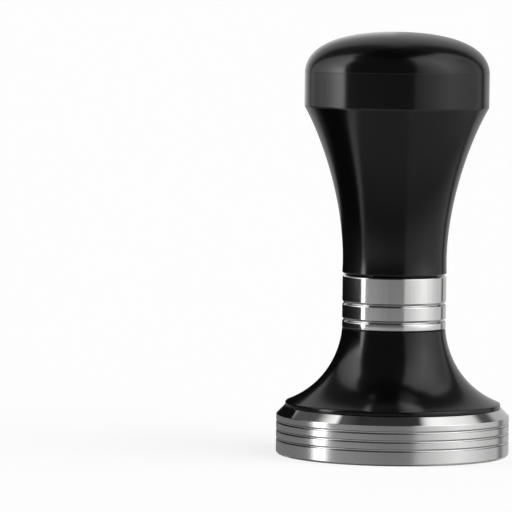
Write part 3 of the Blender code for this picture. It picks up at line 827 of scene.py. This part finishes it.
slot_length = pin_high[0] - pin_low[0] + 2 * SEAT_GAP
bmesh.ops.scale(slot, verts=slot.verts, vec=(slot_length, slot_width, slot_roof - slot_foot))
bmesh.ops.translate(slot, verts=slot.verts, vec=(0.0, 0.0, (slot_roof + slot_foot) / 2))
handle_shape = combine(spin_outline(outline), slot, "DIFFERENCE")
add_piece(
    "hourglass_handle", handle_shape, "handle", handle_black, "handle_body"
)


# %% [markdown]
# ## The palm cap
#
# A shallow dome closes the handle. It meets the knob's side at a clear angle, so that a hairline
# of light runs round the knob, and the join of the two pieces hides in that line. Below the dome a
# threaded spigot screws into the handle's mouth.

# %% Turn the cap
CAP_EDGE_PULL = (0.0005, 0.0064)
CAP_CROWN_PULL = 0.0143
CROWN_WALL = 0.0045
THREAD_DEPTH = 0.0008

cap_foot = handle_top + SEAT_GAP
dome = curve_points(
    (cap_radius, cap_foot),
    (cap_radius - CAP_EDGE_PULL[0], cap_foot + CAP_EDGE_PULL[1]),
    (CAP_CROWN_PULL, cap_top),
    (0.0, cap_top),
    72,
)
outline = dome[:0:-1] + [
    (*dome[0], 0.00003),
    (cap_spigot_radius - THREAD_DEPTH, cap_foot),
    (cap_spigot_radius - THREAD_DEPTH, cap_spigot_foot, 0.0003),
    (cavity_radius, cap_spigot_foot, 0.0003),
    (cavity_radius, cap_top - CROWN_WALL, 0.0006),
    (0.0, cap_top - CROWN_WALL),
]
cap_black = black_anodised("cap_black", [cap_foot])
cap_shape = spin_outline(outline, closed=False)
add_piece("palm_cap", cap_shape, "cap", cap_black, "top_cap")


# %% [markdown]
# ## Real threads
#
# A thread is the outline of one pitch, spun round the axis while it climbs by one pitch a turn. The
# top edge of each turn then lies on the bottom edge of the next, so merging doubles makes one skin.
# The skin is swept a turn too long at both ends and cut level with bisect_plane, as a bolt is cut
# from bar. Filling the two cuts closes a rod. For a tube, a plain bore is bridged to the cuts.

# %% Cut a thread
THREAD_STEPS = 64
FLAT_SHARE = 0.06  # half of the flat on a thread's crest, as a share of the pitch


def cut_level(shape, low, high):
    """Cut a shape off below one height and above another."""
    for height, outwards in ((low, -1.0), (high, 1.0)):
        bmesh.ops.bisect_plane(
            shape, geom=shape.verts[:] + shape.edges[:] + shape.faces[:], dist=0.0000001,
            plane_co=(0.0, 0.0, height), plane_no=(0.0, 0.0, outwards), clear_outer=True,
        )


def thread_skin(root, crest, low, high, pitch):
    """The open skin of an outside thread between two heights."""
    shape = bmesh.new()
    half_flat = pitch * FLAT_SHARE
    corners = [
        (root, -pitch / 2), (root, -pitch / 2 + half_flat), (crest, -half_flat),
        (crest, half_flat), (root, pitch / 2 - half_flat), (root, pitch / 2),
    ]
    points = [shape.verts.new((radius, 0.0, low - pitch + height)) for radius, height in corners]
    edges = [shape.edges.new(pair) for pair in zip(points, points[1:])]
    turns = math.ceil((high - low) / pitch) + 2
    sweep(shape, points + edges, THREAD_STEPS * turns, turns, pitch / THREAD_STEPS)
    bmesh.ops.remove_doubles(shape, verts=shape.verts, dist=0.000002)
    cut_level(shape, low, high)
    return shape


def open_edges(shape):
    """The edges that only one face uses."""
    return [edge for edge in shape.edges if edge.is_boundary]


def threaded_rod(root, crest, low, high, pitch):
    """A solid rod with an outside thread."""
    shape = thread_skin(root, crest, low, high, pitch)
    bmesh.ops.holes_fill(shape, edges=open_edges(shape), sides=0)
    return shape


# %% [markdown]
# ## The centre shaft
#
# The shaft is the spine of the tamper. Its lower thread pulls the disc up against the skirt, its
# flange clamps the sleeve, its smooth middle guides the handle, and its upper thread carries the two
# nuts that set the spring. It is one steel part, made here from three closed shapes that run into
# each other: a turned body and two threaded ends.

# %% Turn the shaft and cut its threads
def add_core_steel(name, shape, node=None):
    """Add a piece of machined steel to the core."""
    add_piece(name, shape, "core", shaft_steel, node)


SHAFT_RADIUS = 0.0050
FLANGE_HEIGHT = 0.0020
STUD_PITCH = 0.00125
NUT_PITCH = 0.0015
ROOT_SHARES = (0.86, 0.87)  # root radius over outer radius, of the lower and the upper thread
RUN_IN = 0.0005  # how far the turned body and a thread run into each other

flange_foot = sleeve_foot + SLEEVE_FLOOR + SEAT_GAP
flange_top = flange_foot + FLANGE_HEIGHT
calibration_foot = radius_foot_top("calibration_nut")[1]
upper_thread_foot = calibration_foot - 0.0012
stud_thread_top = base_top + 0.0010
outline = [
    (0.0, stud_thread_top - RUN_IN),
    (STUD_RADIUS, stud_thread_top - RUN_IN, 0.0002),
    (STUD_RADIUS, flange_foot, 0.0002),
    (shaft_flange_radius, flange_foot, 0.0002),
    (shaft_flange_radius, flange_top, 0.0002),
    (SHAFT_RADIUS, flange_top, 0.0003),
    (SHAFT_RADIUS, upper_thread_foot + RUN_IN, 0.0003),
    (0.0, upper_thread_foot + RUN_IN),
]
pin_height = (pin_low[2] + pin_high[2]) / 2
pin_hole_radius = (pin_high[2] - pin_low[2]) / 2 + FIT_GAP
shaft_shape = drilled(
    spin_outline(outline, FINE_STEPS, closed=False), pin_hole_radius,
    (-SHAFT_RADIUS - CUT_ROOM, 0.0, pin_height), (SHAFT_RADIUS + CUT_ROOM, 0.0, pin_height),
)
add_core_steel("shaft_body", shaft_shape, "centre_shaft")
stud = threaded_rod(
    STUD_RADIUS * ROOT_SHARES[0], STUD_RADIUS, stud_foot, stud_thread_top, STUD_PITCH
)
add_core_steel("shaft_stud_thread", stud)
nut_thread = threaded_rod(
    SHAFT_RADIUS * ROOT_SHARES[1], SHAFT_RADIUS, upper_thread_foot, shaft_top, NUT_PITCH
)
add_core_steel("shaft_nut_thread", nut_thread)


# %% [markdown]
# The cap's thread is a tube. Its two cut ends are joined to a plain bore with bridge_loops, which
# makes the flat ring between two loops of edges. The bore is a circle extruded from one cut to the
# other.

# %% Cut the cap's thread
def threaded_tube(bore, root, crest, low, high, pitch):
    """A tube with a thread outside and a plain bore."""
    shape = thread_skin(root, crest, low, high, pitch)
    rims = open_edges(shape)
    circle = bmesh.ops.create_circle(shape, segments=THREAD_STEPS, radius=bore)["verts"]
    bmesh.ops.translate(shape, verts=circle, vec=(0.0, 0.0, low))
    lower_loop = list({edge for vert in circle for edge in vert.link_edges})
    pushed = bmesh.ops.extrude_edge_only(shape, edges=lower_loop)["geom"]
    upper_verts = [item for item in pushed if isinstance(item, bmesh.types.BMVert)]
    upper_loop = [item for item in pushed if isinstance(item, bmesh.types.BMEdge)]
    bmesh.ops.translate(shape, verts=upper_verts, vec=(0.0, 0.0, high - low))
    middle = (low + high) / 2
    lower_rim = [edge for edge in rims if edge.verts[0].co.z < middle]
    upper_rim = [edge for edge in rims if edge.verts[0].co.z > middle]
    bmesh.ops.bridge_loops(shape, edges=lower_loop + lower_rim)
    bmesh.ops.bridge_loops(shape, edges=upper_loop + upper_rim)
    return shape


CAP_PITCH = 0.0015
CAP_THREAD_DEPTHS = (0.0012, 0.0007)  # of the tube's bore and the thread's root, from the crest
CAP_THREAD_ENDS = (0.0004, 0.0002)  # above the spigot's foot and top
cap_bore, cap_root = (cap_spigot_radius - depth for depth in CAP_THREAD_DEPTHS)
cap_thread = threaded_tube(
    cap_bore, cap_root, cap_spigot_radius,
    cap_spigot_foot + CAP_THREAD_ENDS[0], cap_foot + CAP_THREAD_ENDS[1], CAP_PITCH,
)
add_piece("cap_thread", cap_thread, "cap", cap_black)


# %% [markdown]
# ## Rings, seats and bushes
#
# What is left of the turned pieces are rings. Each has a rectangle as its section, so only its bore
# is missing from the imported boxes. A table names the bores, and one loop turns them all with a small
# radius on every corner.

# %% Turn the plain rings
RINGS = (
    ("lower_spring_seat", SHAFT_RADIUS + FIT_GAP, "core", "shaft_steel", shaft_steel),
    ("bump_stop_ring", sleeve_bore + FIT_GAP, "core", "bush_polymer", bush_polymer),
    ("thrust_washer", SHAFT_RADIUS + FIT_GAP, "core", "bearing_bronze", bearing_bronze),
    ("lower_guide_bush", spigot_radius + FIT_GAP, "handle", "bush_polymer", bush_polymer),
    ("upper_guide_bush", SHAFT_RADIUS + FIT_GAP, "handle", "bearing_bronze", bearing_bronze),
    ("upper_spring_seat", SHAFT_RADIUS + FIT_GAP, "handle", "shaft_steel", shaft_steel),
)
RING_CORNER = 0.00015

for node, bore, body, slot, material in RINGS:
    outer, foot, top = radius_foot_top(node)
    section = [
        (bore, foot, RING_CORNER), (outer, foot, RING_CORNER),
        (outer, top, RING_CORNER), (bore, top, RING_CORNER),
    ]
    add_piece(f"{node}_turned", spin_outline(section, FINE_STEPS), body, material, node)


# %% [markdown]
# ## Rubber rings
#
# An O-ring is a circle spun round the axis. bmesh makes the circle, a quarter turn stands it
# upright, and the same spin as before sweeps it into a ring.

# %% Spin the rubber rings
def upright_circle(shape, segments, radius, place):
    """Add a circle that faces round the axis, with its middle at (radius, height)."""
    circle = bmesh.ops.create_circle(shape, segments=segments, radius=radius)["verts"]
    bmesh.ops.rotate(shape, verts=circle, matrix=Matrix.Rotation(math.pi / 2, 3, "X"))
    bmesh.ops.translate(shape, verts=circle, vec=(place[0], 0.0, place[1]))


def rubber_ring(node, body):
    """An O-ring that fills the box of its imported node."""
    outer, foot, top = radius_foot_top(node)
    section = (top - foot) / 2
    shape = bmesh.new()
    upright_circle(shape, 24, section, (outer - section, foot + section))
    sweep(shape, shape.verts[:] + shape.edges[:], FINE_STEPS * 2, closed=True)
    add_piece(f"{node}_rubber", shape, body, seal_rubber, node)


rubber_ring("base_seal_ring", "base_seal")
rubber_ring("neck_wiper_ring", "core")
rubber_ring("cap_seal_ring", "cap_seal")


# %% [markdown]
# ## The spring
#
# The spring is one circle of wire swept three times in a row: a closed turn, six open turns and a
# closed turn. Each sweep hands back the last circle, which the next one starts from.

# %% Wind the spring
SPRING_END_PITCH = 0.0023
SPRING_TURNS = 8
SPRING_STEPS = 48
WIRE_RADIUS = 0.0010
GROUND_SHARE = 0.45  # of the wire's radius, taken off each end
PRESS_STROKE = 0.00035  # how far the handle slides down, which the spring has to give

spring_radius, spring_foot, spring_top = radius_foot_top("main_spring")
end_lift = WIRE_RADIUS * (1.0 - GROUND_SHARE)
centre_low = spring_foot + end_lift
centre_rise = spring_top - spring_foot - 2 * end_lift
open_turns = SPRING_TURNS - 2
open_pitch = (centre_rise - 2 * SPRING_END_PITCH) / open_turns
shape = bmesh.new()
upright_circle(shape, 20, WIRE_RADIUS, (spring_radius - WIRE_RADIUS, centre_low))
swept = shape.verts[:] + shape.edges[:]
for turns, pitch in ((1, SPRING_END_PITCH), (open_turns, open_pitch), (1, SPRING_END_PITCH)):
    swept = sweep(shape, swept, SPRING_STEPS * turns, turns, pitch / SPRING_STEPS)
bmesh.ops.holes_fill(shape, edges=open_edges(shape), sides=0)
cut_level(shape, spring_foot, spring_top)
bmesh.ops.holes_fill(shape, edges=open_edges(shape), sides=0)
spring = add_piece("wound_spring", shape, "core", spring_steel, "main_spring")
1.0 - PRESS_STROKE / (spring_top - spring_foot)
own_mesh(spring)
print("open pitch of the spring in mm:", round(open_pitch / MM, 3))


# %% [markdown]
# ## Nuts and pins
#
# A nut is a hexagon whose corners are turned off at both faces. A turned barrel with cone ends
# gives exactly that where it meets the hexagon, so an intersecting Boolean makes the curved edges
# that draw a nut. The bore is part of the barrel's outline. The pins are short rods with rounded
# ends, one upright and one level through the shaft.

# %% Make the nuts
NUT_CHAMFER = 0.0006
BORE_CHAMFER = 0.0004
BARREL_MARGIN = 0.001  # how far the barrel reaches past the hexagon


def hex_nut(node):
    """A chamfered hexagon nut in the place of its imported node."""
    outer = nut_corner_radius
    flat_radius = outer * math.cos(math.pi / 6)
    foot, top = radius_foot_top(node)[1:]
    hexagon = bmesh.new()
    bmesh.ops.create_cone(
        hexagon, cap_ends=True, segments=6, radius1=outer, radius2=outer, depth=top - foot
    )
    bmesh.ops.translate(hexagon, verts=hexagon.verts, vec=(0.0, 0.0, (foot + top) / 2))
    bore = SHAFT_RADIUS + THREAD_ROOM
    mouth = bore + BORE_CHAMFER
    face = flat_radius - FIT_GAP
    past = outer + BARREL_MARGIN
    drop = (past - flat_radius) * NUT_CHAMFER / (outer - flat_radius)
    barrel = [
        (mouth, foot - BARREL_MARGIN), (face, foot - BARREL_MARGIN), (face, foot),
        (past, foot + drop), (past, top - drop),
        (face, top), (face, top + BARREL_MARGIN), (mouth, top + BARREL_MARGIN),
        (mouth, top), (bore, top - BORE_CHAMFER), (bore, foot + BORE_CHAMFER), (mouth, foot),
    ]
    shape = combine(hexagon, spin_outline(barrel, FINE_STEPS), "INTERSECT")
    add_core_steel(f"{node}_hexagon", shape, node)


hex_nut("calibration_nut")
hex_nut("lock_nut")


# %% [markdown]
# The pins are small. A pin's outline is turned round the Z axis as everything else is, and is then
# laid over or moved aside, so its ends keep the same rounding.

# %% Make the pins
PIN_STEPS = 48
PIN_ROUNDING = 0.3  # corner radius over the pin's radius


def pin_shape(radius, length):
    """An upright pin with rounded ends, its middle on the origin."""
    end = length / 2
    corner = radius * PIN_ROUNDING
    outline = [(0.0, -end), (radius, -end, corner), (radius, end, corner), (0.0, end)]
    return spin_outline(outline, PIN_STEPS, closed=False)


dowel_shape = pin_shape(dowel_radius, dowel_top - dowel_foot)
bmesh.ops.translate(
    dowel_shape, verts=dowel_shape.verts, vec=(dowel_aside, 0.0, (dowel_foot + dowel_top) / 2)
)
add_core_steel("dowel_pin", dowel_shape, "sleeve_dowel")

pin_middle = (Vector(pin_low) + Vector(pin_high)) / 2
pin = pin_shape((pin_high[2] - pin_low[2]) / 2, pin_high[0] - pin_low[0])
bmesh.ops.rotate(pin, verts=pin.verts, matrix=Matrix.Rotation(math.pi / 2, 3, "Y"))
bmesh.ops.translate(pin, verts=pin.verts, vec=pin_middle)
add_core_steel("cross_pin_rounded", pin, "cross_pin")


# %% [markdown]
# ## The floor
#
# The floor is pale and plain. Part of its light is its own, which stands in for a sweep lit from
# behind, and the rest is reflected, so a soft shadow still gathers where the disc meets it. Black
# gloss would mirror it and turn grey, so glossy rays pass the floor by and see the tent instead.

# %% Lay the floor
FLOOR_REACH = 12.0


def make_floor(own_light, paint_shade):
    """A wide pale floor that gives some light of its own."""
    shape = bmesh.new()
    bmesh.ops.create_grid(shape, x_segments=8, y_segments=8, size=FLOOR_REACH)
    floor = as_object("floor", shape)
    paint = Finish("floor_paint")
    paint.set(
        Base_Color=(paint_shade, paint_shade, paint_shade, 1.0), Roughness=0.9, Specular_IOR_Level=0.0,
        Emission_Color=(1.0, 1.0, 1.0, 1.0), Emission_Strength=own_light,
    )
    floor.data.materials.append(paint.material)
    floor.visible_glossy = False


make_floor(own_light=0.735, paint_shade=0.42)


# %% [markdown]
# ## A tent of light
#
# Polished metal has no look of its own: it shows the room. Products like this are shot in a tent
# with a few soft panels on it, and what counts is where each panel is seen from the tamper. So the
# tent is painted on the world by compass direction. Azimuth 0 is towards the camera and 90 is to the
# right, elevation 0 is level. A wide panel on the right gives the broad bright side, a brighter one
# on the left gives the white streak, and the top stays dark so that the chamfer can go dark.
#
# Two shapes describe every panel. `span` is 1 between two angles, with a soft edge in degrees at each
# end. `near` is a peak that fades evenly on both sides, as a lamp behind cloth does. Light from below
# the horizon is what a lit floor sends up.

# %% Describe the panels
def span(angle, start, end, soft_start, soft_end):
    """1 between two angles, fading to 0 over a soft edge at each end."""
    return angle.beyond(start, soft_start) * (1.0 - angle.beyond(end, soft_end))


def tent_light(azimuth, elevation):
    """The radiance of the tent in a direction, from its panels, its floor and its dark top."""
    away = 180.0 - azimuth.absolute()
    rise = elevation.maths("MAXIMUM", elevation, 0.0)
    right = (azimuth - rise * 0.14).beyond(22.5, 3.0) * (1.0 - azimuth.beyond(130.0, 6.0))
    right_hot = azimuth.near(70.0, 43.0)
    past = azimuth.maths("MAXIMUM", azimuth - 88.0, 0.0)
    right_top = 1.0 - (elevation + past * 0.3).beyond(73.0, 4.0)
    left = span(azimuth - rise * 0.35, -136.0, 0.0, 6.0, 3.0)
    left = left * (1.0 - (azimuth + rise * 0.2).beyond(-68.0, 3.0))
    left_hot = azimuth.near(-72.0, 48.0)
    left_top = 1.0 - (elevation + (azimuth + 106.0) * 0.4).beyond(61.0, 4.0)
    above_table = elevation.beyond(-3.2, 1.2)
    back = 1.0 - away.beyond(40.0, 6.0)
    front = span(azimuth, -68.0, 22.5, 3.0, 3.0)
    panels = {
        "top and front": (1.0 - elevation.beyond(68.0, 8.0)) * 0.06 + 0.035,
        "right panel": right * right_top * elevation.beyond(-18.0, 12.0) * (right_hot * 0.2 + 0.5),
        "right panel, upper end": right * right_top * elevation.beyond(44.0, 16.0) * 0.5,
        "right lamp": right * right_hot * span(elevation, -3.2, 52.0, 1.2, 40.0) * 0.8,
        "right lamp, upper half": right * right_hot * span(elevation, 20.0, 56.0, 20.0, 40.0) * 0.6,
        "left panel": left * above_table * left_top * (left_hot * 2.3 + 0.6),
        "left lamp": left * azimuth.near(-72.0, 26.0) * span(elevation, -3.2, 24.0, 1.2, 12.0) * 2.5,
        "left strip": span(azimuth, -84.0, -70.0, 3.0, 3.0)
        * span(elevation, -60.0, -3.2, 60.0, 1.2) * 0.9,
        "front card": front * span(elevation, -14.0, -4.0, 8.0, 1.5)
        * (azimuth.near(-68.0, 60.0) * 0.22 + 0.26),
        "back wall": back * above_table * (0.5 - rise * 0.004)
        * (1.0 - (elevation + away * 0.9).beyond(62.0, 12.0)),
        "back wall, left": (1.0 - azimuth.beyond(-152.0, 12.0)) * above_table
        * (1.0 - elevation.beyond(18.0, 16.0)) * 0.4,
        "far floor": back * span(elevation, -24.0, -3.2, 12.0, 1.2) * 0.42,
        "lit floor": (1.0 - elevation.beyond(-26.0, 26.0)) * elevation.beyond(-72.0, 16.0)
        * (azimuth.beyond(-88.0, 8.0) * 0.20 + 0.05),
        "lit floor, right": right * span(elevation, -72.0, -22.0, 16.0, 20.0) * 0.12,
    }
    light = elevation * 0.0
    for radiance in panels.values():
        light = light + radiance
    print("parts of the tent:", ", ".join(panels))
    return light


# %% [markdown]
# The camera sees the world as the pale sweep behind the floor, and every other ray sees the tent. A
# Light Path node tells the two apart.

# %% Put up the tent
def set_world(seen):
    """The tent for every ray but the camera's, which sees an even pale brightness."""
    world = bpy.data.worlds.new("studio")
    world.use_nodes = True
    tree = world.node_tree
    direction = Wire(tree).node("ShaderNodeTexCoord", output="Generated")
    split = direction.node("ShaderNodeSeparateXYZ", inputs={0: direction})
    x, y, z = (Wire(tree, socket) for socket in split.socket.node.outputs)
    azimuth = x.maths("ARCTAN2", x, y * -1.0) * math.degrees(1.0)
    elevation = z.maths("ARCSINE", z) * math.degrees(1.0)
    camera_ray = Wire(tree).node("ShaderNodeLightPath", output="Is Camera Ray")
    strength = camera_ray * seen + (1.0 - camera_ray) * tent_light(azimuth, elevation)
    tree.links.new(strength.socket, tree.nodes["Background"].inputs["Strength"])
    tree.nodes["Background"].inputs["Color"].default_value = (1.0, 1.0, 1.0, 1.0)
    bpy.context.scene.world = world


set_world(seen=0.95)
bpy.context.scene.view_settings.view_transform = "Standard"


# %% [markdown]
# The dark edge on the left of the sleeve and the disc comes from a black card that stands close by,
# no taller than the handle's waist, so the knob looks over it. Product shots use such cards to draw
# the edge of bright metal. Only glossy rays see it: it casts no shadow and the camera looks through
# it. The foot of the card glows a little, as cloth does beside a lit floor.

# %% Stand up the dark card
CARD_DISTANCE = 0.08
CARD_LOW = -0.03
CARD_HIGH = 0.050
CARD_FADE = (0.010, 0.016)  # middle and length of the fade of its faint glow


def make_dark_card(start, end):
    """A curved card between two azimuths, spun from one upright edge."""
    shape = bmesh.new()
    foot = shape.verts.new((0.0, -CARD_DISTANCE, CARD_LOW))
    top = shape.verts.new((0.0, -CARD_DISTANCE, CARD_HIGH))
    edge = shape.edges.new((foot, top))
    turned = Matrix.Rotation(math.radians(start), 3, "Z")
    bmesh.ops.rotate(shape, verts=[foot, top], matrix=turned)
    sweep(shape, [foot, top, edge], 24, (end - start) / 360.0)
    card = as_object("dark_card", shape)
    cloth = Finish("dark_card_cloth")
    cloth.set(
        Base_Color=(0.0, 0.0, 0.0, 1.0), Roughness=1.0, Specular_IOR_Level=0.0,
        Emission_Color=(1.0, 1.0, 1.0, 1.0),
        Emission_Strength=(1.0 - cloth.height.beyond(*CARD_FADE)) * 0.2 + 0.005,
    )
    card.data.materials.append(cloth.material)
    card.visible_camera = False
    card.visible_diffuse = False
    card.visible_shadow = False


make_dark_card(-71.5, -178.0)
